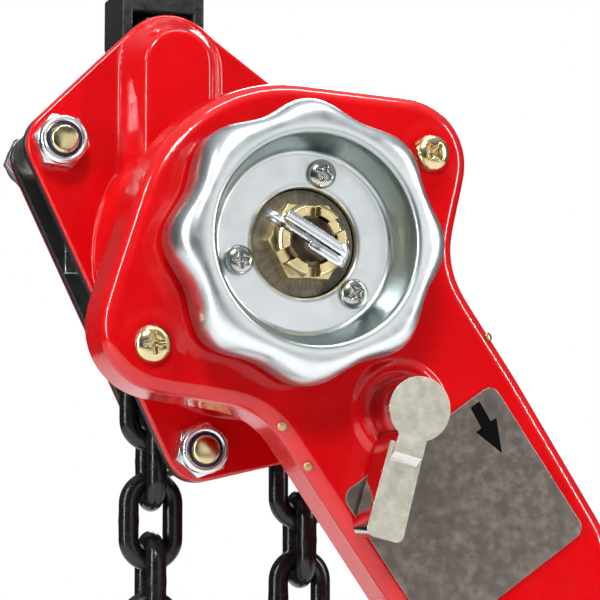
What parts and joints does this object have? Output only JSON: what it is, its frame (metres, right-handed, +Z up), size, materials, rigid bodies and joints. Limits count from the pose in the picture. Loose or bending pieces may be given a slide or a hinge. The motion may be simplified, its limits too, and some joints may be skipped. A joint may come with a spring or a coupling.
{
  "type": "lever chain hoist",
  "caption": "Hand lever hoist: a ratchet lever and dished hand wheel drive a load chain between two swivel hooks.",
  "frame": {"origin": "centre of the top hook's bowl, where the hoist hangs", "axes": "+Z up the load line, -Y towards the hand wheel and lever face, +X to the side the lever points at rest"},
  "size_m": [0.3266, 0.1555, 0.5349],
  "materials": {
    "red_paint": "gloss enamel",
    "black_paint": "semi-gloss",
    "zinc_plate": "bright zinc",
    "yellow_zinc": "yellow passivated zinc",
    "bare_steel": "machined",
    "dark_steel": "hardened, oiled",
    "spring_steel": "drawn wire",
    "bronze": "turned",
    "chain_black": "black oxide",
    "hook_black": "forged, painted",
    "plate_stainless": "polished sheet",
    "selector_cast": "cast, polished sides",
    "friction_lining": "matte",
    "nylon_blue": "satin",
    "grip_rubber": "matte, ribbed"
  },
  "bodies": {
    "frame": {"brake_side_plate": "black_paint", "gear_side_plate": "black_paint", "stay_bolts": "yellow_zinc", "stay_spacers": "bare_steel", "cover_studs": "yellow_zinc", "lock_nuts": "zinc_plate", "nut_inserts": "nylon_blue", "brake_cover": "red_paint", "gear_cover": "red_paint", "gear_bearing_plate": "bare_steel", "suspension_pin": "bare_steel", "suspension_clips": "spring_steel", "sheave_bushes": "bronze", "chain_stripper": "zinc_plate", "chain_guides": "zinc_plate", "ratchet_wheel": "dark_steel", "friction_discs": "friction_lining", "pawl_pins": "bare_steel", "pawl_springs": "spring_steel"},
    "lever": {"lever_front_shell": "red_paint", "lever_rear_shell": "red_paint", "lever_screws": "yellow_zinc", "lever_screw_nuts": "zinc_plate", "shell_rivets": "yellow_zinc", "lever_grip": "grip_rubber", "direction_plate": "plate_stainless", "detent_housing": "zinc_plate", "detent_spring": "spring_steel"},
    "drive": {"drive_shaft": "bare_steel", "brake_hub": "dark_steel", "retaining_disc": "bare_steel", "castle_nut": "yellow_zinc", "cotter_pin": "zinc_plate"},
    "handwheel": {"handwheel": "zinc_plate", "change_gear": "dark_steel", "handwheel_screws": "zinc_plate"},
    "disc_gear_a": {"disc_gear_a": "dark_steel"},
    "disc_gear_b": {"disc_gear_b": "dark_steel"},
    "sheave": {"load_sheave": "bare_steel", "load_gear": "dark_steel", "wrapped_chain": "chain_black"},
    "pawl_a": {"pawl_a": "dark_steel"},
    "pawl_b": {"pawl_b": "dark_steel"},
    "selector": {"selector_knob": "selector_cast", "selector_pawl": "dark_steel"},
    "detent": {"detent_plunger": "bare_steel"},
    "load_strand": {"load_chain": "chain_black"},
    "slack_strand": {"slack_chain": "chain_black", "stop_ring": "zinc_plate"},
    "top_block": {"top_block": "hook_black"},
    "top_hook": {"top_hook": "hook_black", "top_hook_nut": "zinc_plate", "top_latch_pin": "bare_steel"},
    "top_latch": {"top_latch": "zinc_plate"},
    "bottom_block": {"bottom_block": "hook_black", "chain_pin": "zinc_plate"},
    "bottom_hook": {"bottom_hook": "hook_black", "bottom_hook_nut": "zinc_plate", "bottom_latch_pin": "bare_steel"},
    "bottom_latch": {"bottom_latch": "zinc_plate"}
  },
  "joints": [
    {"name": "lever_swing", "type": "hinge", "parent": "frame", "child": "lever", "pos_m": [0.0278, 0, -0.145], "axis": [0, 1, 0], "range_deg": [-45, 45]},
    {"name": "shaft_turn", "type": "hinge", "parent": "frame", "child": "drive", "pos_m": [0.0278, 0, -0.145], "axis": [0, 1, 0], "range_deg": [-45.5, 45.5]},
    {"name": "disc_gear_a_turn", "type": "hinge", "parent": "frame", "child": "disc_gear_a", "pos_m": [0.00009, 0, -0.129], "axis": [0, 1, 0], "range_deg": [-24, 24]},
    {"name": "disc_gear_b_turn", "type": "hinge", "parent": "frame", "child": "disc_gear_b", "pos_m": [0.05551, 0, -0.161], "axis": [0, 1, 0], "range_deg": [-24, 24]},
    {"name": "sheave_turn", "type": "hinge", "parent": "frame", "child": "sheave", "pos_m": [0.0278, 0, -0.145], "axis": [0, 1, 0], "range_deg": [-11, 11]},
    {"name": "load_chain_run", "type": "slide", "parent": "frame", "child": "load_strand", "axis": [0, 0, 1], "range_m": [-0.006, 0.006]},
    {"name": "slack_chain_run", "type": "slide", "parent": "frame", "child": "slack_strand", "axis": [0, 0, 1], "range_m": [-0.006, 0.006]},
    {"name": "handwheel_pull", "type": "slide", "parent": "drive", "child": "handwheel", "axis": [0, -1, 0], "range_m": [0, 0.004]},
    {"name": "selector_turn", "type": "hinge", "parent": "lever", "child": "selector", "pos_m": [0.06462, 0, -0.19857], "axis": [0, -1, 0], "range_deg": [0, 100]},
    {"name": "detent_press", "type": "slide", "parent": "lever", "child": "detent", "axis": [0.5664, 0, -0.8241], "range_m": [0, 0.0015]},
    {"name": "pawl_a_lift", "type": "hinge", "parent": "frame", "child": "pawl_a", "pos_m": [0.05361, 0, -0.10814], "axis": [0, -1, 0], "range_deg": [0, 10]},
    {"name": "pawl_b_lift", "type": "hinge", "parent": "frame", "child": "pawl_b", "pos_m": [0.00199, 0, -0.18186], "axis": [0, -1, 0], "range_deg": [0, 10]},
    {"name": "top_block_swing", "type": "hinge", "parent": "frame", "child": "top_block", "pos_m": [0, 0, -0.077], "axis": [0, 1, 0], "range_deg": [-35, 35]},
    {"name": "top_hook_swivel", "type": "hinge", "parent": "top_block", "child": "top_hook", "pos_m": [0, 0, -0.046], "axis": [0, 0, 1], "continuous": true},
    {"name": "top_latch_open", "type": "hinge", "parent": "top_hook", "child": "top_latch", "pos_m": [-0.0115, 0, -0.0335], "axis": [0, 1, 0], "range_deg": [0, 40]},
    {"name": "bottom_block_swing", "type": "hinge", "parent": "load_strand", "child": "bottom_block", "pos_m": [0, 0, -0.3682], "axis": [0, 1, 0], "range_deg": [-35, 35]},
    {"name": "bottom_hook_swivel", "type": "hinge", "parent": "bottom_block", "child": "bottom_hook", "pos_m": [0, 0, -0.4032], "axis": [0, 0, 1], "continuous": true},
    {"name": "bottom_latch_open", "type": "hinge", "parent": "bottom_hook", "child": "bottom_latch", "pos_m": [0.0115, 0, -0.4157], "axis": [0, 1, 0], "range_deg": [0, 40]}
  ],
  "couplings": [
    {"joint": "shaft_turn", "follows": "lever_swing", "ratio": 1},
    {"joint": "disc_gear_a_turn", "follows": "lever_swing", "ratio": -0.52381},
    {"joint": "disc_gear_b_turn", "follows": "lever_swing", "ratio": -0.52381},
    {"joint": "sheave_turn", "follows": "lever_swing", "ratio": 0.2381},
    {"joint": "load_chain_run", "follows": "lever_swing", "m_per_rad": 0.006619},
    {"joint": "slack_chain_run", "follows": "lever_swing", "m_per_rad": -0.006619}
  ]
}
